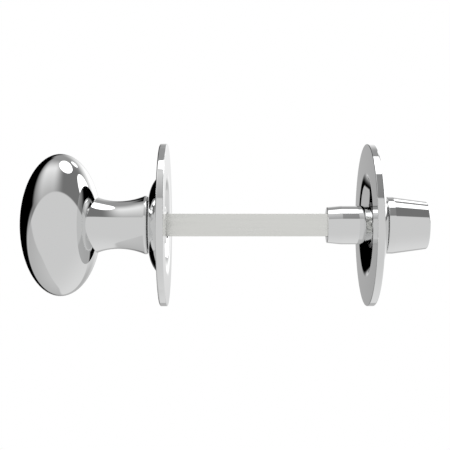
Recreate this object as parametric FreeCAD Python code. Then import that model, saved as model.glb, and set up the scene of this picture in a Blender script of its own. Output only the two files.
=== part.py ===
"""Thumb turn and emergency release set for a bathroom door.

The spindle axis is +X. The origin is on that axis, in the plane where the turn's rose seats on the door.
The turn is on the -X side and the emergency release on the +X side. +Z is up. Sizes are in millimetres.
"""
import FreeCAD, Part
import math
import os

# Door and spindle
DOOR_THICKNESS = 44.0
SPINDLE_SIZE = 5.0
SPINDLE_GRIP = 13.6
SPINDLE_ENTRY = 9.1
SPINDLE_BEVEL = 0.5

# Fits, each a gap between two pieces
SOCKET_CLEARANCE = 0.1
SOCKET_END_GAP = 0.3
SHAFT_CLEARANCE = 0.05
WASHER_CLEARANCE = 0.12
GROOVE_CLEARANCE = 0.02
RUNNING_GAP = 0.03

# Roses: a dished plate, the same on both sides of the door
ROSE_DIAMETER = 36.0
ROSE_PLATE = 1.6
ROSE_EDGE_ROUND = 0.3
BOSS_HEIGHT = 2.5
BOSS_LAND = 1.5
DOME_RADIUS = 7.0
DOME_FOOT_ROUND = 0.4
RECESS_DEPTH = 2.3
RECESS_MOUTH_DIAMETER = 21.9
RECESS_WALL_DEG = 42.0
RECESS_EDGE_ROUND = 1.8
RECESS_FLOOR_ROUND = 3.0

# Shank of the turn and hub of the release, which share one diameter
SHANK_CORNER_WALL = 0.62
SHANK_TAIL = 0.6
SHANK_BEVEL = 0.3
HUB_REACH = 8.7
HUB_TAPER_LENGTH = 3.2
HUB_TAPER_DROP = 0.32
HUB_END_ROUND = 0.15

# Washers and retaining rings in and under the roses
BEARING_THICKNESS = 0.15
BEARING_WIDTH = 1.0
SPRING_SHEET = 0.2
SPRING_WIDTH = 1.25
SPRING_BOW = 0.3
CIRCLIP_THICKNESS = 0.7
CIRCLIP_GROOVE_DEPTH = 0.25
CIRCLIP_WIDTH = 1.2
CIRCLIP_OFFSET = 0.2
CIRCLIP_OPENING = 1.5
CIRCLIP_LUG_RADIUS = 0.95
CIRCLIP_LUG_HOLE = 0.8

# Turn: a waisted neck that carries an oval head
NECK_LIP_DIAMETER = 13.0
NECK_LIP_THICKNESS = 0.75
NECK_LIP_ROUND = 0.4
NECK_WAIST_DIAMETER = 10.6
NECK_WAIST_OFFSET = 6.72
NECK_LENGTH = 10.57
NECK_ROOT_DEPTH = 4.45
NECK_ROOT_COVER = 0.3
HEAD_DEPTH = 17.9
HEAD_WIDTH = 20.0
HEAD_HEIGHT = 31.6
HEAD_BLEND = 0.3

# Release button: a short band, then a taper with a coin slot across its end
BUTTON_DIAMETER = 12.76
BUTTON_LENGTH = 9.15
BUTTON_BAND = 1.55
BUTTON_TAPER_DEG = 7.8
BUTTON_BASE_ROUND = 0.25
BUTTON_END_ROUND = 0.35
SLOT_WIDTH = 1.7
SLOT_DEPTH = 2.4
SLOT_CUTTER_RADIUS = 11.0
SOCKET_WEB = 1.5

# Worked out from the sizes above
SOCKET_SIZE = SPINDLE_SIZE + 2 * SOCKET_CLEARANCE
SHANK_RADIUS = SOCKET_SIZE / math.sqrt(2) + SHANK_CORNER_WALL
BORE_RADIUS = SHANK_RADIUS + SHAFT_CLEARANCE
GROOVE_RADIUS = SHANK_RADIUS - CIRCLIP_GROOVE_DEPTH
BOSS_RADIUS = BORE_RADIUS + BOSS_LAND
ROSE_RADIUS = ROSE_DIAMETER / 2
BOSS_TOP = ROSE_PLATE + BOSS_HEIGHT
SEAT = BOSS_TOP + BEARING_THICKNESS + RUNNING_GAP
SPRING_HEIGHT = SPRING_BOW + SPRING_SHEET
CIRCLIP_BACK = RECESS_DEPTH - SPRING_HEIGHT - 2 * RUNNING_GAP
CIRCLIP_FRONT = CIRCLIP_BACK - CIRCLIP_THICKNESS
SHANK_END = CIRCLIP_FRONT - SHANK_TAIL
HEAD_CENTRE = SEAT + NECK_LENGTH + HEAD_DEPTH / 2
SLOT_FLOOR = SEAT + BUTTON_LENGTH - SLOT_DEPTH
SOCKET_FLOOR = SLOT_FLOOR - SOCKET_WEB

ORIGIN = FreeCAD.Vector(0, 0, 0)
AXIS = FreeCAD.Vector(1, 0, 0)
UP = FreeCAD.Vector(0, 0, 1)
MATCH = 1e-4


def point(x, r):
    """A corner of a turned profile: x along the spindle axis, r out from it."""
    return FreeCAD.Vector(x, 0, r)


def lines(*corners):
    """Straight edges from corner to corner."""
    return [Part.makeLine(a, b) for a, b in zip(corners, corners[1:])]


def arc_about(centre_x, centre_r, radius, start_r, end_r):
    """The arc from start_r to end_r on the side of the centre that faces -X."""

    def on_arc(r):
        return point(centre_x - math.sqrt(radius**2 - (r - centre_r) ** 2), r)

    middle = on_arc((start_r + end_r) / 2)
    return Part.Arc(on_arc(start_r), middle, on_arc(end_r)).toShape()


def turned(edges):
    """Turns a closed profile once round the spindle axis."""
    return Part.Face(Part.Wire(edges)).revolve(ORIGIN, AXIS, 360)


def rims(shape, x, r):
    """The circular edges of radius r that lie round the spindle axis at x."""
    circles = [edge for edge in shape.Edges if isinstance(edge.Curve, Part.Circle)]
    return [
        edge
        for edge in circles
        if abs(edge.Curve.Radius - r) < MATCH and abs(edge.Curve.Center.x - x) < MATCH
    ]


def ring(x, thickness, inner, outer):
    """A flat ring round the spindle axis, from x towards +X."""
    disc = Part.makeCylinder(outer, thickness, point(x, 0), AXIS)
    return disc.cut(Part.makeCylinder(inner, thickness, point(x, 0), AXIS))


def square_bar(size, start, end):
    """A square bar along the spindle axis, with one face up."""
    corner = FreeCAD.Vector(start, -size / 2, -size / 2)
    return Part.makeBox(end - start, size, size, corner)


def rose():
    """The dished plate: seat face at x = 0, recess open towards +X, domed boss towards -X."""
    centre = DOME_RADIUS - BOSS_TOP
    mouth = RECESS_MOUTH_DIAMETER / 2
    floor_edge = mouth - RECESS_DEPTH / math.tan(math.radians(RECESS_WALL_DEG))
    foot = BOSS_RADIUS + math.sqrt(DOME_RADIUS**2 - (centre + ROSE_PLATE) ** 2)
    profile = lines(point(-BOSS_TOP, BOSS_RADIUS), point(-BOSS_TOP, BORE_RADIUS))
    profile += lines(point(-BOSS_TOP, BORE_RADIUS), point(-RECESS_DEPTH, BORE_RADIUS))
    profile += lines(point(-RECESS_DEPTH, BORE_RADIUS), point(-RECESS_DEPTH, floor_edge), point(0, mouth))
    profile += lines(point(0, mouth), point(0, ROSE_RADIUS), point(-ROSE_PLATE, ROSE_RADIUS))
    profile += lines(point(-ROSE_PLATE, ROSE_RADIUS), point(-ROSE_PLATE, foot))
    profile.append(arc_about(centre, BOSS_RADIUS, DOME_RADIUS, foot, BOSS_RADIUS))
    plate = turned(profile)
    outer_edges = rims(plate, 0, ROSE_RADIUS) + rims(plate, -ROSE_PLATE, ROSE_RADIUS)
    plate = plate.makeFillet(ROSE_EDGE_ROUND, outer_edges)
    plate = plate.makeFillet(RECESS_EDGE_ROUND, rims(plate, 0, mouth))
    plate = plate.makeFillet(RECESS_FLOOR_ROUND, rims(plate, -RECESS_DEPTH, floor_edge))
    return plate.makeFillet(DOME_FOOT_ROUND, rims(plate, -ROSE_PLATE, foot))


def bearing_washer():
    """The thin washer that lies on the dome's flat top and carries the turning piece."""
    inner = SHANK_RADIUS + WASHER_CLEARANCE
    return ring(-BOSS_TOP - BEARING_THICKNESS, BEARING_THICKNESS, inner, inner + BEARING_WIDTH)


def spring_washer():
    """A ring of thin sheet bent round one long cylinder, edges on the recess floor, crown to the ring."""
    inner = SHANK_RADIUS + WASHER_CLEARANCE
    outer = inner + SPRING_WIDTH
    bend_radius = (outer**2 + SPRING_BOW**2) / (2 * SPRING_BOW)
    floor = -RECESS_DEPTH + RUNNING_GAP
    bend_axis = FreeCAD.Vector(floor + SPRING_BOW - bend_radius, -outer, 0)
    along = FreeCAD.Vector(0, 1, 0)
    sheet = Part.makeCylinder(bend_radius + SPRING_SHEET, 2 * outer, bend_axis, along)
    sheet = sheet.cut(Part.makeCylinder(bend_radius, 2 * outer, bend_axis, along))
    return sheet.common(ring(floor, SPRING_HEIGHT, inner, outer))


def circlip():
    """An external retaining ring: eccentric, open towards +Y, with a drilled lug each side of the opening."""
    inner = GROOVE_RADIUS + GROOVE_CLEARANCE
    outer = inner + CIRCLIP_WIDTH - CIRCLIP_OFFSET
    start = -CIRCLIP_BACK
    centre = FreeCAD.Vector(start, -CIRCLIP_OFFSET, 0)
    body = Part.makeCylinder(outer, CIRCLIP_THICKNESS, centre, AXIS)
    lug_reach = inner + CIRCLIP_LUG_RADIUS
    lug_side = CIRCLIP_OPENING / 2 + CIRCLIP_LUG_RADIUS
    holes = []
    for side in (-1, 1):
        place = FreeCAD.Vector(start, math.sqrt(lug_reach**2 - lug_side**2), side * lug_side)
        body = body.fuse(Part.makeCylinder(CIRCLIP_LUG_RADIUS, CIRCLIP_THICKNESS, place, AXIS))
        holes.append(Part.makeCylinder(CIRCLIP_LUG_HOLE / 2, CIRCLIP_THICKNESS, place, AXIS))
    bore = Part.makeCylinder(inner, CIRCLIP_THICKNESS, point(start, 0), AXIS)
    opening_corner = FreeCAD.Vector(start, 0, -CIRCLIP_OPENING / 2)
    opening_reach = lug_reach + CIRCLIP_LUG_RADIUS
    opening = Part.makeBox(CIRCLIP_THICKNESS, opening_reach, CIRCLIP_OPENING, opening_corner)
    return body.cut([bore, opening] + holes).removeSplitter()


def circlip_groove():
    """The ring-shaped cut in the shank or hub that the retaining ring sits in."""
    start = -CIRCLIP_BACK - GROOVE_CLEARANCE
    width = CIRCLIP_THICKNESS + 2 * GROOVE_CLEARANCE
    return ring(start, width, GROOVE_RADIUS, SHANK_RADIUS + SHAFT_CLEARANCE)


def flare(waist, end):
    """The arc that leaves the waist along the axis and climbs to the end point."""
    along = end.x - waist.x
    climb = end.z - waist.z
    radius = (along**2 + climb**2) / (2 * climb)
    middle_climb = radius - math.sqrt(radius**2 - (along / 2) ** 2)
    middle = point(waist.x + along / 2, waist.z + middle_climb)
    return Part.Arc(waist, middle, end).toShape()


def neck_root():
    """The end of the neck's flare, just under the sides of the oval head."""
    from_centre = 1 - NECK_ROOT_DEPTH / (HEAD_DEPTH / 2)
    half_width = HEAD_WIDTH / 2 * math.sqrt(1 - from_centre**2)
    return point(-SEAT - NECK_LENGTH - NECK_ROOT_DEPTH, half_width - NECK_ROOT_COVER)


def neck_and_shank():
    """The waisted neck from its root inside the head to its lip, and the shank through the rose."""
    lip_radius = NECK_LIP_DIAMETER / 2
    lip_x = -SEAT - NECK_LIP_THICKNESS
    waist = point(-SEAT - NECK_WAIST_OFFSET, NECK_WAIST_DIAMETER / 2)
    root = neck_root()
    lip = point(lip_x, lip_radius)
    profile = [flare(waist, root), flare(waist, lip)]
    profile += lines(lip, point(-SEAT, lip_radius), point(-SEAT, SHANK_RADIUS))
    shank_side = point(-SHANK_END - SHANK_BEVEL, SHANK_RADIUS)
    shank_face = point(-SHANK_END, SHANK_RADIUS - SHANK_BEVEL)
    profile += lines(point(-SEAT, SHANK_RADIUS), shank_side, shank_face, point(-SHANK_END, 0))
    profile += lines(point(-SHANK_END, 0), point(root.x, 0), root)
    neck = turned(profile)
    lip_edges = rims(neck, -SEAT, lip_radius) + rims(neck, lip_x, lip_radius)
    neck = neck.makeFillet(NECK_LIP_ROUND, lip_edges)
    return neck.cut(circlip_groove())


def head():
    """The oval head: an ellipsoid, tall in Z, on the spindle axis."""
    ball = Part.makeSphere(1.0)
    ball.rotate(ORIGIN, UP, 180)
    stretch = FreeCAD.Matrix()
    stretch.scale(HEAD_DEPTH / 2, HEAD_WIDTH / 2, HEAD_HEIGHT / 2)
    stretch.move(point(-HEAD_CENTRE, 0))
    return ball.transformGeometry(stretch)


def is_crease(edge, knob):
    """True for an edge where the neck's flank meets the oval's skin."""
    neighbours = knob.ancestorsOfType(edge, Part.Face)
    kinds = {isinstance(face.Surface, Part.BSplineSurface) for face in neighbours}
    return len(kinds) == 2


def turn_knob():
    """Head, neck and shank as one casting, with the blind square socket that grips the spindle."""
    oval = head()
    knob = oval.fuse(neck_and_shank()).Solids[0]
    crease = [edge for edge in knob.Edges if is_crease(edge, knob)]
    knob = knob.makeFillet(HEAD_BLEND, crease)
    socket_start = -SHANK_END - SPINDLE_GRIP - SOCKET_END_GAP
    return knob.cut(square_bar(SPINDLE_SIZE, socket_start, 0))


def spindle():
    """The square bar, bevelled at both ends, fixed in the turn and free in the release."""
    start = -SHANK_END - SPINDLE_GRIP
    end = DOOR_THICKNESS - HUB_REACH + SPINDLE_ENTRY
    bar = square_bar(SPINDLE_SIZE, start, end)
    ends = [edge for edge in bar.Edges if abs(edge.tangentAt(edge.FirstParameter).x) < MATCH]
    return bar.makeChamfer(SPINDLE_BEVEL, ends)


def release_button():
    """Button and hub in one turned piece: square socket from inside, coin slot across the outer end.

    It is drawn on the turn's side, button towards -X, and turned round when it is placed.
    """
    base_radius = BUTTON_DIAMETER / 2
    end_x = -SEAT - BUTTON_LENGTH
    band_x = -SEAT - BUTTON_BAND
    end_radius = base_radius - (band_x - end_x) * math.tan(math.radians(BUTTON_TAPER_DEG))
    tip_radius = SHANK_RADIUS - HUB_TAPER_DROP
    profile = lines(point(end_x, 0), point(end_x, end_radius), point(band_x, base_radius))
    profile += lines(point(band_x, base_radius), point(-SEAT, base_radius), point(-SEAT, SHANK_RADIUS))
    taper_start = point(HUB_REACH - HUB_TAPER_LENGTH, SHANK_RADIUS)
    profile += lines(point(-SEAT, SHANK_RADIUS), taper_start, point(HUB_REACH, tip_radius))
    profile += lines(point(HUB_REACH, tip_radius), point(HUB_REACH, 0), point(end_x, 0))
    button = turned(profile)
    button = button.makeFillet(BUTTON_END_ROUND, rims(button, end_x, end_radius))
    button = button.makeFillet(BUTTON_BASE_ROUND, rims(button, -SEAT, base_radius))
    button = button.makeFillet(HUB_END_ROUND, rims(button, HUB_REACH, tip_radius))
    cutter_centre = FreeCAD.Vector(-SLOT_FLOOR - SLOT_CUTTER_RADIUS, -SLOT_WIDTH / 2, 0)
    cutter = Part.makeCylinder(SLOT_CUTTER_RADIUS, SLOT_WIDTH, cutter_centre, FreeCAD.Vector(0, 1, 0))
    socket = square_bar(SOCKET_SIZE, -SOCKET_FLOOR, HUB_REACH)
    return button.cut([cutter, socket, circlip_groove()])


def on_release_side(shape):
    """Turns a piece round to face the other way and moves it to the far side of the door."""
    turned_round = shape.copy()
    turned_round.rotate(ORIGIN, UP, 180)
    turned_round.translate(FreeCAD.Vector(DOOR_THICKNESS, 0, 0))
    return turned_round


def pieces():
    """Every piece of the set by name, in its place."""
    shared = {
        "rose": rose(),
        "bearing_washer": bearing_washer(),
        "spring_washer": spring_washer(),
        "circlip": circlip(),
    }
    placed = {"turn_knob": turn_knob(), "spindle": spindle()}
    placed["release_button"] = on_release_side(release_button())
    for name, shape in shared.items():
        placed["turn_" + name] = shape
        placed["release_" + name] = on_release_side(shape)
    return placed


os.makedirs("parts", exist_ok=True)
for node, solid in pieces().items():
    solid.exportStep("parts/" + node + ".step")
    print(node, solid.isValid(), len(solid.Solids), round(solid.Volume, 2))
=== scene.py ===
"""Looks of a bathroom thumb turn and its emergency release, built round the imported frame.

The spindle axis is X, the turn is on the -X side, the release is on the +X side and +Z is up. Sizes are in
metres. The chrome pieces and the spindle are surfaces worked out on grids. The washers and retaining rings
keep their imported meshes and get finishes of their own.
"""

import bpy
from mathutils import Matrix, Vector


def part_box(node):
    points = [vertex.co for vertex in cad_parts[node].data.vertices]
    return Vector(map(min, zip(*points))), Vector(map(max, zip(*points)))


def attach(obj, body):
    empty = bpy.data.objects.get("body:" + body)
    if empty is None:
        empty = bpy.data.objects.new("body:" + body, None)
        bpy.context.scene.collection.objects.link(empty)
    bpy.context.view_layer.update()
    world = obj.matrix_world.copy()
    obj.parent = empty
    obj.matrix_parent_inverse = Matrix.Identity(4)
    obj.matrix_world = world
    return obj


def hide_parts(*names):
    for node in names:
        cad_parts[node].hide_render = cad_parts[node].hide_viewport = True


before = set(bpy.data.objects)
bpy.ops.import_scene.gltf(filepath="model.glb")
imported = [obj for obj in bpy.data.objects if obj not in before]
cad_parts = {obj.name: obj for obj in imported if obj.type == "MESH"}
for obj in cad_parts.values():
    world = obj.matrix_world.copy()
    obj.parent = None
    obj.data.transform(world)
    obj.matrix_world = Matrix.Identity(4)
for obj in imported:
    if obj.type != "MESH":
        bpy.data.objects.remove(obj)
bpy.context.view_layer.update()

import logging
import math
from dataclasses import dataclass
from enum import Enum

import bpy
import numpy as np
from mathutils import Vector
from numpy.typing import ArrayLike

Array = np.ndarray
Pair = tuple[float, float]
Triple = tuple[float, float, float]

LOG = logging.getLogger("thumb_turn")
MM = 0.001
FULL_TURN = 2 * math.pi
AROUND = 256  # points round the axis
SHARP_ANGLE = math.radians(35)  # an edge that bends more than this is shaded sharp
HOLD = 0.04 * MM  # width of the strips that keep a straight run flat
HOLD_MOST = 0.25  # the most of a short run that one strip takes
HALVINGS = 48  # steps that find where two skins touch
NOISE_RANGE = (0.3, 0.7)  # about the lowest and the highest that noise gives
LAMP_POWER = 4  # watts of a lamp for each unit of its glow and its area
WHITE = (1.0, 1.0, 1.0, 1.0)


class Side(Enum):
    """The two sides of the door, by the way that each faces along X."""

    TURN = -1
    RELEASE = 1

    @property
    def label(self) -> str:
        """The word that the side's node names start with."""
        return self.name.lower()


def straight(start: ArrayLike, end: ArrayLike) -> Array:
    """A straight run of a profile, held flat by a narrow strip at each end.

    Each point is start + s * (end - start), with s at 0, just after 0 and just before 1.

    Args:
        start: First point, as place along the axis and distance out from it.
        end: The point that the run stops short of.

    Returns:
        Three points, one to a row.
    """
    first = np.array(start)
    step = np.array(end) - first
    strip = min(HOLD / np.linalg.norm(step), HOLD_MOST)
    return first + np.array([0.0, strip, 1 - strip])[:, None] * step


def arc(centre: ArrayLike, radius: float, start: float, end: float, count: int) -> Array:
    """An arc of a profile, centre + radius * (cos angle, sin angle), without its last point.

    Args:
        centre: Centre, as place along the axis and distance out from it.
        radius: Radius of the arc.
        start: First angle in radians, from the axis direction towards the outside.
        end: Angle that the arc stops short of.
        count: Number of points.

    Returns:
        The points, one to a row.
    """
    angle = np.linspace(start, end, count, endpoint=False)
    return np.array(centre) + radius * np.stack([np.cos(angle), np.sin(angle)], axis=-1)


def arc_between(centre: Array, start: Array, end: Array, count: int) -> Array:
    """Rows of an arc that has its own ends at each turn angle, without its last row.

    Args:
        centre: Centre of the arc.
        start: Its first point at each turn angle.
        end: The point that it stops short of.
        count: Number of rows.

    Returns:
        Profile rows for every turn angle.
    """
    from_start, from_end = start - centre, end - centre
    radius = np.linalg.norm(from_start, axis=-1, keepdims=True)
    first = np.arctan2(from_start[..., 1], from_start[..., 0])
    last = np.arctan2(from_end[..., 1], from_end[..., 0])
    sweep = (last - first + math.pi) % FULL_TURN - math.pi
    angle = first + np.linspace(0, 1, count, endpoint=False)[:, None] * sweep
    return centre + radius * np.stack([np.cos(angle), np.sin(angle)], axis=-1)


def on_circle(centre: Pair, radius: float, angle: float) -> Pair:
    """The point at an angle on a circle, centre + radius * (cos angle, sin angle)."""
    return centre[0] + radius * math.cos(angle), centre[1] + radius * math.sin(angle)


def on_axis(place: float) -> Triple:
    """The point at a place on the spindle axis."""
    return place, 0.0, 0.0


def bearing(origin: Pair, target: Pair) -> float:
    """The angle of target seen from origin, in radians."""
    return math.atan2(target[1] - origin[1], target[0] - origin[0])


def turn_angles() -> Array:
    """Angles round the axis: a multiple of eight of them, so a square hole's corners fall on points."""
    return np.arange(AROUND) * FULL_TURN / AROUND


def rows_round(profile: Array) -> Array:
    """Repeats one profile at every turn angle, as an array of rows, turn angles and the two values."""
    return np.repeat(profile[:, None, :], AROUND, axis=1)


def square_row(place: float, half: float) -> Array:
    """One row of a profile that runs round a square: out = half / max(|cos turn|, |sin turn|).

    Args:
        place: Where the row is along the axis.
        half: Half the side of the square.

    Returns:
        An array of one row, turn angles and the two profile values.
    """
    turn = turn_angles()
    out = half / np.maximum(np.abs(np.cos(turn)), np.abs(np.sin(turn)))
    return np.stack([np.full(AROUND, place), out], axis=-1)[None]


def spun(profile: Array) -> Array:
    """Carries profile rows round the axis: x = place, y = out * cos(turn), z = out * sin(turn).

    Args:
        profile: Array of rows, turn angles and the two profile values.

    Returns:
        Points as an array of rows, turn angles and x, y, z.
    """
    turn = turn_angles()
    place, out = profile[..., 0], profile[..., 1]
    return np.stack([place, out * np.cos(turn), out * np.sin(turn)], axis=-1)


def facing_out(points: Array, faces: Array) -> Array:
    """Turns the faces of a closed skin round if they enclose a negative volume.

    The volume is the sum of a . (b x c) / 6 over triangles, with each quad as two of them.

    Args:
        points: Corner positions.
        faces: Corner numbers, four to a face, with the last one repeated in a triangle.

    Returns:
        The faces, wound so that their normals point outwards.
    """
    a, b, c, d = (points[faces[:, corner]] for corner in range(4))
    volume = np.einsum("ij,ij->", a, np.cross(b, c) + np.cross(c, d))
    return faces if volume > 0 else faces[:, ::-1]


def placed(name: str, data: bpy.types.ID) -> bpy.types.Object:
    """Puts a mesh, lamp or camera into the scene.

    Args:
        name: Name of the object.
        data: What the object shows.

    Returns:
        The object, at the origin.
    """
    made = bpy.data.objects.new(name, data)
    bpy.context.scene.collection.objects.link(made)
    return made


def mesh_object(name: str, points: Array, faces: Array) -> bpy.types.Object:
    """Puts a closed skin into a smooth-shaded mesh object.

    Args:
        name: Name of the object and its mesh.
        points: Corner positions.
        faces: Corner numbers, four to a face, with the last one repeated in a triangle.

    Returns:
        The object, at the origin and in the scene.
    """
    faces = facing_out(points, faces)
    repeated = faces == np.roll(faces, 1, axis=1)
    totals = 4 - repeated.sum(axis=1)
    mesh = bpy.data.meshes.new(name)
    mesh.vertices.add(len(points))
    mesh.vertices.foreach_set("co", points.astype(np.float32).ravel())
    mesh.loops.add(int(totals.sum()))
    mesh.loops.foreach_set("vertex_index", faces[~repeated].astype(np.int32))
    mesh.polygons.add(len(faces))
    mesh.polygons.foreach_set("loop_start", (totals.cumsum() - totals).astype(np.int32))
    mesh.update(calc_edges=True)
    mesh.validate()
    mesh.shade_smooth()
    mesh.set_sharp_from_angle(angle=SHARP_ANGLE)
    return placed(name, mesh)


def corner_numbers(rows: Array) -> Array:
    """Numbers the points of a grid, row by row."""
    return np.arange(rows.shape[0] * rows.shape[1]).reshape(rows.shape[:2])


def grid_faces(index: Array, wrap_rows: bool) -> Array:
    """Quads between neighbouring rows of a grid whose columns close into a ring.

    Args:
        index: Corner numbers, in rows and columns.
        wrap_rows: True if the last row joins the first.

    Returns:
        Corner numbers, four to a face.
    """
    after = np.roll(index, -1, axis=0) if wrap_rows else index[1:]
    here = index if wrap_rows else index[:-1]
    quads = [here, np.roll(here, -1, axis=1), np.roll(after, -1, axis=1), after]
    return np.stack(quads, axis=-1).reshape(-1, 4)


def ring_skin(name: str, rows: Array) -> bpy.types.Object:
    """A skin whose profile is a closed loop carried round the axis, as on a ring."""
    faces = grid_faces(corner_numbers(rows), wrap_rows=True)
    return mesh_object(name, rows.reshape(-1, 3), faces)


def capped_skin(name: str, rows: Array, first_pole: Triple, last_pole: Triple) -> bpy.types.Object:
    """A skin of rings, closed at each end by a fan to a pole.

    Args:
        name: Name of the object.
        rows: Points in rows and columns.
        first_pole: The point where the first row closes.
        last_pole: The point where the last row closes.

    Returns:
        The mesh object.
    """
    index = corner_numbers(rows)
    start, end = index[0], index[-1]
    first = np.full_like(start, index.size)
    start_fan = np.stack([first, np.roll(start, -1), start, start], axis=-1)
    end_fan = np.stack([first + 1, end, np.roll(end, -1), np.roll(end, -1)], axis=-1)
    faces = np.vstack([grid_faces(index, wrap_rows=False), start_fan, end_fan])
    return mesh_object(name, np.vstack([rows.reshape(-1, 3), first_pole, last_pole]), faces)


def cut_out(piece: bpy.types.Object, cutter: bpy.types.Object) -> None:
    """Cuts one closed skin out of another and keeps the result as the piece's mesh.

    Args:
        piece: The object that is cut.
        cutter: The object whose volume is taken away. It is removed afterwards.
    """
    cut = piece.modifiers.new("cut", "BOOLEAN")
    cut.operation = "DIFFERENCE"
    cut.solver = "EXACT"
    cut.object = cutter
    evaluated = piece.evaluated_get(bpy.context.evaluated_depsgraph_get())
    made = bpy.data.meshes.new_from_object(evaluated)
    piece.modifiers.clear()
    piece.data = made
    made.name = piece.name
    made.shade_smooth()
    made.set_sharp_from_angle(angle=SHARP_ANGLE)
    bpy.data.objects.remove(cutter)


class Shade:
    """A material's node tree, with short calls that add and join its nodes."""

    def __init__(self, name: str) -> None:
        """Starts a material with its surface shader.

        Args:
            name: Name of the material.
        """
        self.material = bpy.data.materials.new(name)
        self.material.use_nodes = True
        self.nodes = self.material.node_tree.nodes
        self.links = self.material.node_tree.links
        self.surface = self.nodes["Principled BSDF"]

    def add(self, kind: str, values: dict, **options: str) -> bpy.types.Node:
        """Adds a node.

        Args:
            kind: The node's type.
            values: Socket values by socket name.
            options: The node's own settings.

        Returns:
            The new node.
        """
        node = self.nodes.new(kind)
        for name, value in options.items():
            setattr(node, name, value)
        for name, value in values.items():
            node.inputs[name].default_value = value
        return node

    def join(self, source: bpy.types.NodeSocket, target: bpy.types.NodeSocket) -> None:
        """Links one socket to another."""
        self.links.new(source, target)

    def noise(self, stretch: Triple, scale: float, detail: float) -> bpy.types.NodeSocket:
        """Noise on Object coordinates, stretched along the axes.

        Args:
            stretch: Scale factors along X, Y and Z, where less is longer.
            scale: Grains to the metre.
            detail: Finer layers on top of the first.

        Returns:
            The noise value's socket, from 0 to 1.
        """
        place = self.add("ShaderNodeTexCoord", {})
        turned = self.add("ShaderNodeMapping", {"Scale": stretch})
        grain = self.add("ShaderNodeTexNoise", {"Scale": scale, "Detail": detail})
        self.join(place.outputs["Object"], turned.inputs["Vector"])
        self.join(turned.outputs["Vector"], grain.inputs["Vector"])
        return grain.outputs["Fac"]

    def spread(self, source: bpy.types.NodeSocket, low: float, high: float, target: str) -> None:
        """Spreads a noise value over a range and joins it to the surface shader.

        Args:
            source: The value.
            low: Result at the lowest that noise gives.
            high: Result at the highest that noise gives.
            target: Name of the shader's socket.
        """
        lowest, highest = NOISE_RANGE
        limits = {"From Min": lowest, "From Max": highest, "To Min": low, "To Max": high}
        ranged = self.add("ShaderNodeMapRange", limits)
        self.join(source, ranged.inputs["Value"])
        self.join(ranged.outputs["Result"], self.surface.inputs[target])

    def tint(self, source: bpy.types.NodeSocket, low: Triple, high: Triple) -> None:
        """Shades the base colour between two tints.

        Args:
            source: A value from 0 to 1.
            low: Colour at 0.
            high: Colour at 1.
        """
        mixed = self.add("ShaderNodeMix", {}, data_type="RGBA")
        mixed.inputs["A"].default_value = (*low, 1.0)
        mixed.inputs["B"].default_value = (*high, 1.0)
        self.join(source, mixed.inputs["Factor"])
        self.join(mixed.outputs["Result"], self.surface.inputs["Base Color"])

    def relief(self, source: bpy.types.NodeSocket, height: float, strength: float) -> None:
        """Raises the surface by a value, as bump.

        Args:
            source: A value from 0 to 1.
            height: Height in metres between 0 and 1.
            strength: Share of the bump that shows.
        """
        bump = self.add("ShaderNodeBump", {"Distance": height, "Strength": strength})
        self.join(source, bump.inputs["Height"])
        self.join(bump.outputs["Normal"], self.surface.inputs["Normal"])


@dataclass(frozen=True)
class Finish:
    """A surface whose tint and roughness follow one noise pattern.

    The pattern has so many grains to the metre, finer layers on top and a stretch along each axis. Where
    the finish has a relief, the pattern also raises the surface.
    """

    name: str
    low_tint: Triple
    high_tint: Triple
    smoothest: float
    roughest: float
    grains: float
    layers: float
    stretch: Triple = (1.0, 1.0, 1.0)
    metallic: float = 1.0
    relief_height: float = 0.0
    relief_strength: float = 0.0

    def material(self) -> bpy.types.Material:
        """Makes the material.

        Returns:
            The finish, ready for a mesh.
        """
        shade = Shade(self.name)
        shade.surface.inputs["Metallic"].default_value = self.metallic
        pattern = shade.noise(self.stretch, self.grains, self.layers)
        shade.tint(pattern, self.low_tint, self.high_tint)
        shade.spread(pattern, self.smoothest, self.roughest, "Roughness")
        if self.relief_height:
            shade.relief(pattern, self.relief_height, self.relief_strength)
        return shade.material


@dataclass(frozen=True)
class PolishedChrome(Finish):
    """Bright chrome plate on a polished casting, with a trace of haze left by polishing."""

    name: str = "bright_chrome"
    low_tint: Triple = (0.852, 0.855, 0.852)
    high_tint: Triple = (0.842, 0.847, 0.848)
    smoothest: float = 0.012
    roughest: float = 0.03
    grains: float = 180.0
    layers: float = 3.0


@dataclass(frozen=True)
class RecessChrome(PolishedChrome):
    """The same plate inside a rose's recess, where it is polished less."""

    name: str = "recess_chrome"
    smoothest: float = 0.04
    roughest: float = 0.07


@dataclass(frozen=True)
class DrawnSteel(Finish):
    """Bright square bar, with fine lines along its length from the drawing die."""

    name: str = "drawn_bar"
    low_tint: Triple = (0.935, 0.936, 0.904)
    high_tint: Triple = (0.91, 0.914, 0.882)
    smoothest: float = 0.2
    roughest: float = 0.28
    grains: float = 2600.0
    layers: float = 3.0
    stretch: Triple = (0.02, 1.0, 1.0)
    relief_height: float = 0.004 * MM
    relief_strength: float = 0.5


@dataclass(frozen=True)
class SpringSteel(Finish):
    """Tempered spring steel, dull and slightly brown-grey from its heat treatment."""

    name: str = "tempered_spring"
    low_tint: Triple = (0.32, 0.32, 0.33)
    high_tint: Triple = (0.2, 0.19, 0.185)
    smoothest: float = 0.28
    roughest: float = 0.45
    grains: float = 900.0
    layers: float = 4.0


@dataclass(frozen=True)
class Acetal(Finish):
    """Grey acetal sheet with the faint mottle of a moulded surface."""

    name: str = "grey_acetal"
    low_tint: Triple = (0.23, 0.23, 0.235)
    high_tint: Triple = (0.27, 0.27, 0.275)
    smoothest: float = 0.4
    roughest: float = 0.55
    grains: float = 1500.0
    layers: float = 2.0
    metallic: float = 0.0


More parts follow.
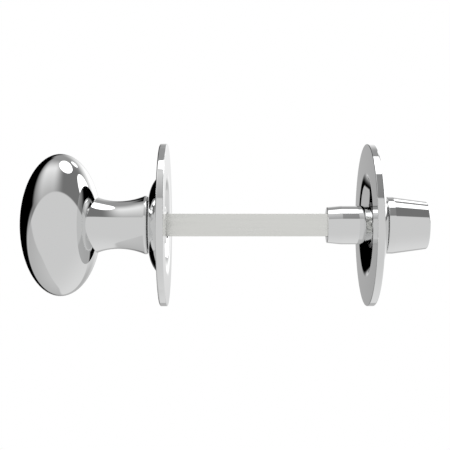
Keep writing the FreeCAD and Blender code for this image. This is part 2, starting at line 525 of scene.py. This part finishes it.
@dataclass
class Finishes:
    """The materials of the set, each made once."""

    chrome: bpy.types.Material
    dull_chrome: bpy.types.Material
    drawn_steel: bpy.types.Material
    spring_steel: bpy.types.Material
    acetal: bpy.types.Material

    @classmethod
    def make(cls) -> "Finishes":
        """Makes every finish."""
        kinds = (PolishedChrome, RecessChrome, DrawnSteel, SpringSteel, Acetal)
        return cls(*(kind().material() for kind in kinds))


def dress(piece: bpy.types.Object, finish: bpy.types.Material, body: str, node: str) -> None:
    """Gives a new piece its finish and its place on the frame.

    Args:
        piece: The new mesh object.
        finish: Its material.
        body: The body that it moves with.
        node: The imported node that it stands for.
    """
    piece.data.materials.clear()
    piece.data.materials.append(finish)
    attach(piece, body)
    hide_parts(node)
    LOG.info("%s: %d faces on %s", piece.name, len(piece.data.polygons), body)


@dataclass
class Shank:
    """The sizes that the turn's shank and the release's hub share."""

    radius: float = 4.297 * MM
    groove_depth: float = 0.25 * MM
    groove_start: float = 1.02 * MM
    groove_width: float = 0.74 * MM

    def groove(self) -> list[Pair]:
        """Corners of the retaining ring's groove, as depth behind the seat plane and distance out."""
        near, far = self.groove_start, self.groove_start + self.groove_width
        floor = self.radius - self.groove_depth
        return [(far, self.radius), (far, floor), (near, floor), (near, self.radius)]


@dataclass
class ThumbTurn:
    """The oval head, its waisted neck and the shank with its square socket, one casting.

    Depths are measured along the axis away from the door.
    """

    shank: Shank
    node: str = "turn_knob"
    head_depth: float = 17.9 * MM
    seat: float = 4.28 * MM
    lip_radius: float = 6.5 * MM
    lip_thickness: float = 0.75 * MM
    lip_round: float = 0.4 * MM
    waist_radius: float = 5.3 * MM
    waist_offset: float = 6.72 * MM
    root_depth: float = 4.45 * MM
    root_cover: float = 0.3 * MM
    blend: float = 0.3 * MM
    shank_bevel: float = 0.3 * MM
    socket_half: float = 2.5 * MM
    socket_depth: float = 13.9 * MM
    head_rows: int = 130
    flare_rows: int = 44
    blend_rows: int = 8
    round_rows: int = 8

    def __post_init__(self) -> None:
        """Takes the head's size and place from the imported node."""
        low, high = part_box(self.node)
        self.half_depth = self.head_depth / 2
        self.half_width = (high.y - low.y) / 2
        self.half_height = (high.z - low.z) / 2
        self.centre = low.x + self.half_depth
        self.end = high.x
        self.waist = -self.seat - self.waist_offset
        self.root_flare, self.lip_flare = self.flares()

    def flares(self) -> Pair:
        """Radii of the two arcs that leave the waist along the axis.

        An arc that goes a along the axis and climbs c has the radius (a * a + c * c) / (2 c).

        Returns:
            The radius towards the head and the radius towards the lip.
        """
        from_centre = 1 - self.root_depth / self.half_depth
        root_out = self.half_width * math.sqrt(1 - from_centre**2) - self.root_cover
        root_along = self.centre + self.half_depth - self.root_depth - self.waist
        lip_along = self.waist_offset - self.lip_thickness
        climbs = (root_out - self.waist_radius, self.lip_radius - self.waist_radius)
        alongs = (root_along, lip_along)
        head_side, lip_side = ((a * a + c * c) / (2 * c) for a, c in zip(alongs, climbs))
        return head_side, lip_side

    def section_reach(self) -> Array:
        """The oval's reach from the axis in each half-plane, 1 / sqrt((cos/b)^2 + (sin/c)^2)."""
        turn = turn_angles()
        return 1 / np.hypot(np.cos(turn) / self.half_width, np.sin(turn) / self.half_height)

    def on_oval(self, sweep: Array) -> tuple[Array, Array]:
        """Points and normals on the oval's section in each half-plane.

        The section is an ellipse: place = centre - a cos(sweep) and out = reach sin(sweep).

        Args:
            sweep: Ellipse angles from the outer pole, with the turn angles as the last axis.

        Returns:
            Points and outward unit normals, each with place and distance out as the last axis.
        """
        reach = self.section_reach()
        points = np.stack([self.centre - self.half_depth * np.cos(sweep), reach * np.sin(sweep)], axis=-1)
        normals = np.stack([-np.cos(sweep) / self.half_depth, np.sin(sweep) / reach], axis=-1)
        return points, normals / np.linalg.norm(normals, axis=-1, keepdims=True)

    def head_rows_round(self) -> Array:
        """Rows over the oval head and the small blend into the neck, as far as the waist.

        The blend is a ball that touches both skins: its centre is one ball radius off the oval and lies on
        the neck's arc made smaller by the same radius. Halving finds the ellipse angle where both hold.

        Returns:
            Profile rows for every turn angle.
        """
        flare_centre = np.array([self.waist, self.waist_radius + self.root_flare])
        low = np.full(AROUND, math.pi / 2)
        high = np.full(AROUND, math.pi)
        for _ in range(HALVINGS):
            middle = (low + high) / 2
            point, normal = self.on_oval(middle)
            away = np.linalg.norm(point + self.blend * normal - flare_centre, axis=-1)
            outside = away < self.root_flare - self.blend
            low = np.where(outside, middle, low)
            high = np.where(outside, high, middle)
        touch = (low + high) / 2
        share = np.linspace(0, 1, self.head_rows + 1)[1:-1, None]
        oval, _ = self.on_oval(share * touch)
        contact, normal = self.on_oval(touch)
        ball = contact + self.blend * normal
        on_flare = flare_centre + self.root_flare * (ball - flare_centre) / (self.root_flare - self.blend)
        waist = np.array([self.waist, self.waist_radius])
        blend = arc_between(ball, contact, on_flare, self.blend_rows)
        flare = arc_between(flare_centre, on_flare, waist, self.flare_rows)
        return np.concatenate([oval, blend, flare])

    def lower_profile(self) -> Array:
        """The turned part: neck from the waist to the lip, lip, seat face, shank and groove.

        Returns:
            Profile points.
        """
        flare_centre = (self.waist, self.waist_radius + self.lip_flare)
        round_out = self.lip_radius - self.lip_round
        rise = flare_centre[1] - round_out
        round_place = self.waist + math.sqrt((self.lip_flare + self.lip_round) ** 2 - rise**2)
        top = (round_place, round_out)
        to_top = bearing(flare_centre, top)
        corner = (-self.seat - self.lip_round, round_out)
        groove = [(-depth, out) for depth, out in self.shank.groove()]
        runs = [
            arc(flare_centre, self.lip_flare, -math.pi / 2, to_top, self.flare_rows),
            arc(top, self.lip_round, to_top + math.pi, math.pi / 2, self.round_rows),
            straight((round_place, self.lip_radius), (corner[0], self.lip_radius)),
            arc(corner, self.lip_round, math.pi / 2, 0, self.round_rows),
            straight((-self.seat, round_out), (-self.seat, self.shank.radius)),
            np.array([(-self.seat, self.shank.radius), *groove]),
            np.array([(self.end - self.shank_bevel, self.shank.radius)]),
            np.array([(self.end, self.shank.radius - self.shank_bevel)]),
        ]
        return np.vstack(runs)

    def build(self, finishes: Finishes) -> None:
        """Makes the turn as one skin from the head's pole to the socket's floor.

        Args:
            finishes: The materials.
        """
        floor = self.end - self.socket_depth
        profile = [
            self.head_rows_round(),
            rows_round(self.lower_profile()),
            square_row(self.end, self.socket_half),
            square_row(floor, self.socket_half),
        ]
        rows = spun(np.concatenate(profile))
        piece = capped_skin("oval_turn", rows, on_axis(self.centre - self.half_depth), on_axis(floor))
        dress(piece, finishes.chrome, "turn", self.node)


@dataclass
class Rose:
    """A domed rose: a dished plate with an open recess towards the door.

    Its profile is drawn as depth away from the door and distance out from the axis.
    """

    side: Side
    plate: float = 1.6 * MM
    back_round: float = 0.15 * MM
    front_round: float = 0.3 * MM
    bore: float = 4.347 * MM
    land: float = 1.5 * MM
    dome_radius: float = 7.0 * MM
    foot_round: float = 0.4 * MM
    recess_depth: float = 2.3 * MM
    mouth: float = 10.95 * MM
    wall_slope: float = math.radians(42.0)
    mouth_round: float = 1.8 * MM
    floor_round: float = 3.0 * MM
    dome_rows: int = 40
    round_rows: int = 10

    def __post_init__(self) -> None:
        """Takes the plate's diameter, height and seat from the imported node."""
        self.node = self.side.label + "_rose"
        low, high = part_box(self.node)
        self.radius = (high.z - low.z) / 2
        self.height = high.x - low.x
        self.seat = high.x if self.side is Side.TURN else low.x

    def recess(self) -> Array:
        """The recess in the plate's section: flat floor, sloped wall, and a round where each of them ends.

        Each round is a ball that touches the wall and a flat. Its centre is one ball radius off the flat,
        and the wall touches it where the ball's radius, turned by the wall's slope, meets its surface.

        Returns:
            Profile points.
        """
        floor = self.recess_depth
        half_slope = math.tan(self.wall_slope / 2)
        floor_edge = self.mouth - floor / math.tan(self.wall_slope)
        floor_ball = np.array([floor - self.floor_round, floor_edge - self.floor_round * half_slope])
        mouth_ball = np.array([self.mouth_round, self.mouth + self.mouth_round * half_slope])
        lean = np.array([math.cos(self.wall_slope), math.sin(self.wall_slope)])
        wall = straight(floor_ball + self.floor_round * lean, mouth_ball - self.mouth_round * lean)
        runs = [
            straight((floor, self.bore), (floor, floor_ball[1])),
            arc(floor_ball, self.floor_round, 0, self.wall_slope, self.round_rows),
            wall,
            arc(mouth_ball, self.mouth_round, math.pi + self.wall_slope, math.pi, self.round_rows),
        ]
        return np.vstack(runs)

    def outside(self) -> Array:
        """The rest of the section from the recess on: seat, rim, front, dome and land.

        The round at the dome's foot is a ball that touches the front and the dome from outside. Its centre
        is one ball radius off the front and both radii from the dome's centre.

        Returns:
            Profile points.
        """
        boss = self.bore + self.land
        centre = (self.height - self.dome_radius, boss)
        seat_start = self.mouth + self.mouth_round * math.tan(self.wall_slope / 2)
        foot_depth = self.plate + self.foot_round
        foot_climb = math.sqrt((self.dome_radius + self.foot_round) ** 2 - (foot_depth - centre[0]) ** 2)
        foot = (foot_depth, boss + foot_climb)
        rim_back = (self.back_round, self.radius - self.back_round)
        rim_front = (self.plate - self.front_round, self.radius - self.front_round)
        to_foot = bearing(centre, foot)
        runs = [
            straight((0, seat_start), (0, rim_back[1])),
            arc(rim_back, self.back_round, math.pi, math.pi / 2, self.round_rows),
            straight((rim_back[0], self.radius), (rim_front[0], self.radius)),
            arc(rim_front, self.front_round, math.pi / 2, 0, self.round_rows),
            straight((self.plate, rim_front[1]), (self.plate, foot[1])),
            arc(foot, self.foot_round, math.pi, to_foot + math.pi, self.round_rows),
            arc(centre, self.dome_radius, to_foot, 0, self.dome_rows),
            straight((self.height, boss), (self.height, self.bore)),
            np.array([(self.height, self.bore)]),
        ]
        return np.vstack(runs)

    def build(self, finishes: Finishes) -> None:
        """Makes the rose as one ring-shaped skin, with a duller plate on the faces of its recess.

        Args:
            finishes: The materials.
        """
        recess = self.recess()
        section = np.vstack([recess, self.outside()])
        section[:, 0] = self.seat + self.side.value * section[:, 0]
        piece = ring_skin(self.side.label + "_domed_rose", spun(rows_round(section)))
        dress(piece, finishes.chrome, self.side.label + "_side", self.node)
        piece.data.materials.append(finishes.dull_chrome)
        in_recess = np.arange(len(section)) < len(recess)
        piece.data.polygons.foreach_set("material_index", np.repeat(in_recess, AROUND).astype(np.int32))


@dataclass
class Release:
    """The release: a tapered button with a coin slot outside and a hub with a square socket inside.

    Places are along the axis from the release rose's seat, away from the door.
    """

    shank: Shank
    node: str = "release_button"
    seat: float = 4.28 * MM
    hub_reach: float = 8.7 * MM
    hub_taper: float = 3.2 * MM
    hub_drop: float = 0.32 * MM
    hub_round: float = 0.15 * MM
    band: float = 1.55 * MM
    taper: float = math.radians(7.8)
    base_round: float = 0.25 * MM
    end_round: float = 0.35 * MM
    slot_width: float = 1.7 * MM
    slot_depth: float = 2.4 * MM
    slot_cutter: float = 11.0 * MM
    socket_half: float = 2.6 * MM
    socket_web: float = 1.5 * MM
    round_rows: int = 8

    def __post_init__(self) -> None:
        """Takes the button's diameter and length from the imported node."""
        low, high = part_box(self.node)
        self.radius = (high.z - low.z) / 2
        self.rose_seat = low.x + self.hub_reach
        self.end = high.x - self.rose_seat

    def profile(self) -> Array:
        """The outside, from the hub's tip to the button's end face.

        The round between an end face and a cone that leans by a is a ball. Its centre is one ball radius
        off the face, and radius * tan(pi / 4 - a / 2) nearer to the axis than the corner.

        Returns:
            Profile points.
        """
        tip = self.shank.radius - self.hub_drop
        hub_lean = math.atan2(self.hub_drop, self.hub_taper)
        tip_inset = self.hub_round * math.tan(math.pi / 4 - hub_lean / 2)
        tip_ball = (self.hub_round - self.hub_reach, tip - tip_inset)
        end_out = self.radius - (self.end - self.seat - self.band) * math.tan(self.taper)
        end_inset = self.end_round * math.tan(math.pi / 4 - self.taper / 2)
        end_ball = (self.end - self.end_round, end_out - end_inset)
        base_ball = (self.seat + self.base_round, self.radius - self.base_round)
        lean = math.pi / 2 - self.taper
        hub_turn = math.pi / 2 + hub_lean
        cone_end = (self.hub_taper - self.hub_reach, self.shank.radius)
        band_end = (self.seat + self.band, self.radius)
        groove = self.shank.groove()[::-1]
        runs = [
            arc(tip_ball, self.hub_round, math.pi, hub_turn, self.round_rows),
            straight(on_circle(tip_ball, self.hub_round, hub_turn), cone_end),
            straight(cone_end, groove[0]),
            np.array(groove),
            straight((self.seat, self.shank.radius), (self.seat, base_ball[1])),
            arc(base_ball, self.base_round, math.pi, math.pi / 2, self.round_rows),
            straight((base_ball[0], self.radius), band_end),
            straight(band_end, on_circle(end_ball, self.end_round, lean)),
            arc(end_ball, self.end_round, lean, 0, self.round_rows),
            straight((self.end, end_ball[1]), (self.end, self.slot_width)),
        ]
        return np.vstack(runs)

    def slot_disc(self) -> bpy.types.Object:
        """The thin disc that a slotting cutter sweeps, with its axis along Y.

        Returns:
            A closed skin on the slot's width, its lowest point at the slot's floor.
        """
        centre = self.rose_seat + self.end - self.slot_depth + self.slot_cutter
        half = self.slot_width / 2
        turn = turn_angles()
        along = centre + self.slot_cutter * np.cos(turn)
        height = self.slot_cutter * np.sin(turn)
        sides = [np.full(AROUND, side) for side in (-half, half)]
        rows = np.stack([np.stack([along, side, height], axis=-1) for side in sides])
        return capped_skin("slot_disc", rows, (centre, -half, 0.0), (centre, half, 0.0))

    def build(self, finishes: Finishes) -> None:
        """Makes the release as one skin from the socket's floor to the end face, and cuts its slot.

        Args:
            finishes: The materials.
        """
        floor = self.end - self.slot_depth - self.socket_web
        profile = [
            square_row(floor, self.socket_half),
            square_row(-self.hub_reach, self.socket_half),
            rows_round(self.profile()),
        ]
        rows = np.concatenate(profile)
        rows[..., 0] += self.rose_seat
        poles = [on_axis(self.rose_seat + place) for place in (floor, self.end)]
        piece = capped_skin("coin_release", spun(rows), *poles)
        cut_out(piece, self.slot_disc())
        dress(piece, finishes.chrome, "release", self.node)


@dataclass
class Spindle:
    """The square bar through the door, bevelled at both ends."""

    node: str = "spindle"
    bevel: float = 0.5 * MM
    corner_round: float = 0.1 * MM
    corner_rows: int = 6

    def section(self, inset: float) -> Array:
        """A square with rounded corners, each a quarter arc about a point inside the corner.

        Args:
            inset: How far every side moves in.

        Returns:
            Points round the section as y and z.
        """
        low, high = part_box(self.node)
        half = (high.z - low.z) / 2 - inset
        flat = half - self.corner_round
        corners = np.array([(flat, flat), (-flat, flat), (-flat, -flat), (flat, -flat)])
        start = np.arange(4)[:, None] * math.pi / 2
        angle = start + np.linspace(0, math.pi / 2, self.corner_rows + 1)
        round_points = np.stack([np.cos(angle), np.sin(angle)], axis=-1) * self.corner_round
        return (corners[:, None, :] + round_points).reshape(-1, 2)

    def build(self, finishes: Finishes) -> None:
        """Makes the bar as one skin, from end face to end face.

        Args:
            finishes: The materials.
        """
        low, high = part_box(self.node)
        places = [low.x, low.x + self.bevel, high.x - self.bevel, high.x]
        insets = [self.bevel, 0.0, 0.0, self.bevel]
        rows = [np.insert(self.section(inset), 0, place, axis=1) for place, inset in zip(places, insets)]
        piece = capped_skin("square_spindle", np.stack(rows), on_axis(low.x), on_axis(high.x))
        dress(piece, finishes.drawn_steel, "turn", self.node)


@dataclass
class Hardware:
    """The washers and the retaining ring inside one rose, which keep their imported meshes."""

    side: Side

    def dress(self, finishes: Finishes) -> None:
        """Gives each small piece its finish.

        Args:
            finishes: The materials.
        """
        worn = {
            "bearing_washer": finishes.acetal,
            "spring_washer": finishes.spring_steel,
            "circlip": finishes.spring_steel,
        }
        for part, finish in worn.items():
            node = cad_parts[self.side.label + "_" + part]
            node.data.materials.clear()
            node.data.materials.append(finish)
            LOG.info("%s: dressed with %s", node.name, finish.name)


def smooth_step(value: Array, start: float, end: float) -> Array:
    """Rises smoothly from 0 at start to 1 at end, as 3 t^2 - 2 t^3."""
    share = np.clip((value - start) / (end - start), 0, 1)
    return share * share * (3 - 2 * share)


def soft_edge(value: Array, place: float, soft: float) -> Array:
    """Rises smoothly from 0 to 1 between place - soft and place + soft."""
    return smooth_step(value, place - soft, place + soft)


@dataclass(frozen=True)
class TentFrame:
    """The tent's own directions: it is tipped back behind the object, so its rim is high in front."""

    tip: float = math.radians(37.3)

    def direction(self, azimuth: Array, elevation: Array) -> Array:
        """Unit vectors in the scene for bearings in the tent.

        Args:
            azimuth: Degrees round from the camera's side towards +X.
            elevation: Degrees above the tent's rim.

        Returns:
            Vectors with x, y and z as the last axis.
        """
        side, rise = np.radians(azimuth), np.radians(elevation)
        right = np.sin(side) * np.cos(rise)
        front = np.cos(side) * np.cos(rise)
        up = np.sin(rise)
        back = -front * math.cos(self.tip) + up * math.sin(self.tip)
        height = front * math.sin(self.tip) + up * math.cos(self.tip)
        return np.stack([right, back, height], axis=-1)


@dataclass(frozen=True)
class RoundLamp:
    """A round soft lamp, placed by its bearing in the tent."""

    name: str
    azimuth: float
    elevation: float
    half_angle: float
    glow: float = 1.16
    distance: float = 0.45
    aim: Triple = (-20.0 * MM, -5.0 * MM, 12.0 * MM)

    def build(self, tent: TentFrame) -> None:
        """Hangs the lamp, facing the point that it is aimed at.

        Args:
            tent: The tent's directions.
        """
        lamp = bpy.data.lights.new(self.name, "AREA")
        radius = self.distance * math.tan(math.radians(self.half_angle))
        lamp.shape = "DISK"
        lamp.size = 2 * radius
        lamp.energy = LAMP_POWER * self.glow * math.pi * radius**2
        hung = placed(self.name, lamp)
        away = tent.direction(np.array(self.azimuth), np.array(self.elevation))
        hung.location = np.array(self.aim) + away * self.distance
        hung.rotation_mode = "QUATERNION"
        hung.rotation_quaternion = Vector(away).to_track_quat("Z", "Y")
        hung.visible_camera = False


@dataclass(frozen=True)
class Pool:
    """A soft pool of light on the tent's lining, brightest at its middle."""

    azimuth: float
    elevation: float
    reach: float
    glow: float

    def light(self, tent: TentFrame, azimuth: Array, elevation: Array) -> Array:
        """The pool's light, a smooth step of the angle from its middle.

        Args:
            tent: The tent's directions.
            azimuth: Degrees round.
            elevation: Degrees up.

        Returns:
            The glow at each bearing.
        """
        middle = tent.direction(np.array(self.azimuth), np.array(self.elevation))
        here = tent.direction(azimuth, elevation)
        away = np.degrees(np.arccos(np.clip(here @ middle, -1, 1)))
        return self.glow * smooth_step(-away, -self.reach, 0)


@dataclass
class Lining:
    """The tent's lining, as brightness by bearing in degrees.

    A fade is where a soft edge starts and ends, and a soft is half the width of one.
    """

    tent: TentFrame
    azimuth: Array
    elevation: Array
    rim_soft: float = 1.2
    ground: float = 0.68
    ground_pool: Pool = Pool(155.0, -15.0, 80.0, 0.1)
    ground_depths: Pair = (0.5, 89.999)
    # Painted shade on the ground behind on the left: its glow, how it lightens further down, its edges,
    # corner and fade.
    ground_shade: float = 0.49
    ground_shade_rise: float = 0.11
    ground_shade_rise_depth: float = 55.0
    ground_shade_edges: Pair = (-175.0, -85.0)
    ground_shade_corner: float = 1.35
    ground_shade_fade: Pair = (-0.03, 0.05)
    wall: float = 0.19
    back_wall: float = 0.5
    back_fade: Pair = (70.0, 110.0)
    back_top_fade: Pair = (40.0, 70.0)
    crown: float = 0.34
    crown_fade: Pair = (45.0, 75.0)
    panel_low: float = 0.31
    panel_high: float = 0.74
    panel_middle: Pair = (-31.0, 39.0)
    panel_side_fade: Pair = (-51.0, -14.0)
    panel_top_width: float = 33.0
    back_pool: Pool = Pool(146.0, 48.0, 40.0, 0.9)
    side_pool: Pool = Pool(122.0, 12.0, 34.0, 0.35)
    flag_middle: float = -110.0
    flag_sides: Pair = (-56.0, 34.0)
    flag_side_softs: Pair = (14.0, 5.0)
    flag_heights: Pair = (4.4, 71.0)
    flag_height_softs: Pair = (2.0, 5.0)
    flag_slant: float = 0.085

    def below(self) -> Array:
        """The pale ground, with painted shade, a soft shadow, over the quarter behind on the left.

        On the ground, a bearing lies 1 / tan(-elevation) heights from the foot of the object. The painted
        shade is the quarter between two edges there, with its corner rounded.

        Returns:
            The glow at each bearing, meant for those below the rim.
        """
        glow = self.ground + self.ground_pool.light(self.tent, self.azimuth, self.elevation)
        depth = np.clip(-self.elevation, *self.ground_depths)
        reach = 1 / np.tan(np.radians(depth))
        first, second = self.ground_shade_edges
        past_edges = [np.sin(np.radians(past)) for past in (self.azimuth - first, second - self.azimuth)]
        gap = np.hypot(*(np.maximum(self.ground_shade_corner - reach * past, 0) for past in past_edges))
        share = smooth_step((self.ground_shade_corner - gap) / reach, *self.ground_shade_fade)
        # Blends in the painted shade on the ground behind on the left, which is lighter further down.
        ground_shade = self.ground_shade + self.ground_shade_rise * depth / self.ground_shade_rise_depth
        return glow + share * (ground_shade - glow)

    def panel(self) -> Array:
        """A tall soft panel, which brightens up to its middle height and fades above it and to its sides.

        Returns:
            The panel's glow at each bearing.
        """
        middle, height = self.panel_middle
        climb = np.clip(self.elevation / height, 0, 1)
        glow = self.panel_low + (self.panel_high - self.panel_low) * climb
        glow = glow * (1 - smooth_step(self.elevation, height, height + self.panel_top_width))
        return glow * smooth_step(-np.abs(self.azimuth - middle), *self.panel_side_fade)

    def flag(self) -> Array:
        """A black flag on the left with soft edges, whose foot climbs a little from left to right.

        Returns:
            The share of the light that it takes away at each bearing.
        """
        left, right = self.flag_sides
        left_soft, right_soft = self.flag_side_softs
        foot, top = self.flag_heights
        foot_soft, top_soft = self.flag_height_softs
        aside = (self.azimuth - self.flag_middle + 180) % 360 - 180
        across = soft_edge(aside, left, left_soft) * (1 - soft_edge(aside, right, right_soft))
        over_foot = soft_edge(self.elevation - self.flag_slant * aside, foot, foot_soft)
        return across * over_foot * (1 - soft_edge(self.elevation, top, top_soft))

    def above(self) -> Array:
        """The walls and the crown, with the panel and two pools of light, behind the flag.

        Returns:
            The glow at each bearing, meant for those above the rim.
        """
        behind = smooth_step(np.abs(self.azimuth), *self.back_fade)
        behind = behind * (1 - smooth_step(self.elevation, *self.back_top_fade))
        glow = self.wall + (self.back_wall - self.wall) * behind
        glow = glow + (self.crown - self.wall) * smooth_step(self.elevation, *self.crown_fade)
        glow = glow + self.panel()
        for pool in (self.back_pool, self.side_pool):
            glow = glow + pool.light(self.tent, self.azimuth, self.elevation)
        return glow * (1 - self.flag())

    def glow(self) -> Array:
        """The glow of the whole lining, ground below the rim and walls above it."""
        share = soft_edge(self.elevation, 0, self.rim_soft)
        return self.below() * (1 - share) + self.above() * share


@dataclass
class Studio:
    """Floor, tent, lamps, backdrop and camera round the object."""

    tent: TentFrame = TentFrame()
    tent_radius: float = 3.0
    tent_columns: int = 361
    tent_rows: int = 181
    lamps: tuple[RoundLamp, ...] = (
        RoundLamp("key_lamp", 25.0, 51.7, 18.0, distance=0.33),
        RoundLamp("far_lamp", 34.0, 49.4, 11.8, distance=1.6),
        RoundLamp("side_lamp", 86.0, 28.0, 19.3),
        RoundLamp("small_lamp", 84.0, 65.0, 6.5),
    )
    floor_drop: float = 0.26
    floor_radius: float = 0.7
    floor_colour: tuple = (0.9, 0.9, 0.9, 1.0)
    floor_roughness: float = 0.9
    lit_colour: tuple = (0.85, 0.85, 0.85, 1.0)
    camera_place: Triple = (12.71 * MM, -222.0 * MM, 0.0)
    camera_lens: float = 79.84
    sensor_width: float = 36.0
    clip_start: float = 10.0 * MM

    def card_finish(self) -> bpy.types.Material:
        """A lining that gives off its own glow.

        Returns:
            The material.
        """
        shade = Shade("tent_lining")
        glow = shade.add("ShaderNodeAttribute", {}, attribute_name="glow")
        light = shade.add("ShaderNodeEmission", {"Color": WHITE})
        shade.join(glow.outputs["Fac"], light.inputs["Strength"])
        shade.join(light.outputs["Emission"], shade.nodes["Material Output"].inputs["Surface"])
        return shade.material

    def build_tent(self) -> None:
        """Hangs the tent as a sphere that only reflections see, with its glow kept at its corners."""
        columns = np.linspace(-180, 180, self.tent_columns)
        azimuth, elevation = np.meshgrid(columns, np.linspace(-90, 90, self.tent_rows))
        points = self.tent.direction(azimuth, elevation) * self.tent_radius
        index = corner_numbers(points)
        quads = [index[:-1, :-1], index[:-1, 1:], index[1:, 1:], index[1:, :-1]]
        mesh = bpy.data.meshes.new("tent")
        mesh.from_pydata(points.reshape(-1, 3), [], np.stack(quads, axis=-1).reshape(-1, 4))
        glow = Lining(self.tent, azimuth, elevation).glow()
        kept = mesh.attributes.new("glow", "FLOAT", "POINT")
        kept.data.foreach_set("value", glow.astype(np.float32).ravel())
        mesh.materials.append(self.card_finish())
        tent = placed("tent", mesh)
        tent.visible_camera = False
        tent.visible_diffuse = False
        tent.visible_shadow = False

    def build_floor(self) -> None:
        """Lays a round pale floor well below the object, as a fan about its middle."""
        turn = turn_angles()
        level = np.full(AROUND, -self.floor_drop)
        out = self.floor_radius
        rim = np.stack([out * np.cos(turn), out * np.sin(turn), level], axis=-1)
        ring = np.arange(AROUND)
        fan = np.stack([np.full(AROUND, AROUND), ring, np.roll(ring, -1)], axis=-1)
        mesh = bpy.data.meshes.new("floor")
        mesh.from_pydata(np.vstack([rim, (0.0, 0.0, -self.floor_drop)]), [], fan)
        shade = Shade("pale_floor")
        shade.surface.inputs["Base Color"].default_value = self.floor_colour
        shade.surface.inputs["Roughness"].default_value = self.floor_roughness
        mesh.materials.append(shade.material)
        floor = placed("floor", mesh)
        floor.visible_glossy = False

    def build_backdrop(self) -> None:
        """Sets a white world for what is seen and mirrored, and a plain soft level for what is lit."""
        world = bpy.data.worlds.new("white_studio")
        world.use_nodes = True
        nodes, links = world.node_tree.nodes, world.node_tree.links
        lit = nodes["Background"]
        lit.inputs["Color"].default_value = self.lit_colour
        seen = nodes.new("ShaderNodeBackground")
        seen.inputs["Color"].default_value = WHITE
        path = nodes.new("ShaderNodeLightPath")
        in_sight = path.outputs["Is Camera Ray"]
        for ray in ("Is Glossy Ray", "Is Transmission Ray"):
            either = nodes.new("ShaderNodeMath")
            either.operation = "MAXIMUM"
            links.new(in_sight, either.inputs[0])
            links.new(path.outputs[ray], either.inputs[1])
            in_sight = either.outputs["Value"]
        mixed = nodes.new("ShaderNodeMixShader")
        links.new(in_sight, mixed.inputs["Fac"])
        links.new(lit.outputs["Background"], mixed.inputs[1])
        links.new(seen.outputs["Background"], mixed.inputs[2])
        links.new(mixed.outputs["Shader"], nodes["World Output"].inputs["Surface"])
        bpy.context.scene.world = world
        bpy.context.scene.view_settings.view_transform = "Standard"

    def build_camera(self) -> None:
        """Sets the camera level with the spindle, looking along +Y."""
        lens = bpy.data.cameras.new("camera")
        lens.lens = self.camera_lens
        lens.sensor_width = self.sensor_width
        lens.clip_start = self.clip_start
        camera = placed("camera", lens)
        camera.location = self.camera_place
        camera.rotation_euler = (math.pi / 2, 0.0, 0.0)
        bpy.context.scene.camera = camera

    def build(self) -> None:
        """Sets up everything round the object."""
        self.build_floor()
        self.build_tent()
        for lamp in self.lamps:
            lamp.build(self.tent)
        self.build_backdrop()
        self.build_camera()
        LOG.info("studio: %d lamps", len(self.lamps))


def main() -> None:
    """Builds the set piece by piece, then the studio."""
    logging.basicConfig(level=logging.INFO, format="%(name)s: %(message)s")
    finishes = Finishes.make()
    shank = Shank()
    ThumbTurn(shank).build(finishes)
    Release(shank).build(finishes)
    Spindle().build(finishes)
    for side in Side:
        Rose(side).build(finishes)
        Hardware(side).dress(finishes)
    Studio().build()


if __name__ == "__main__":
    main()
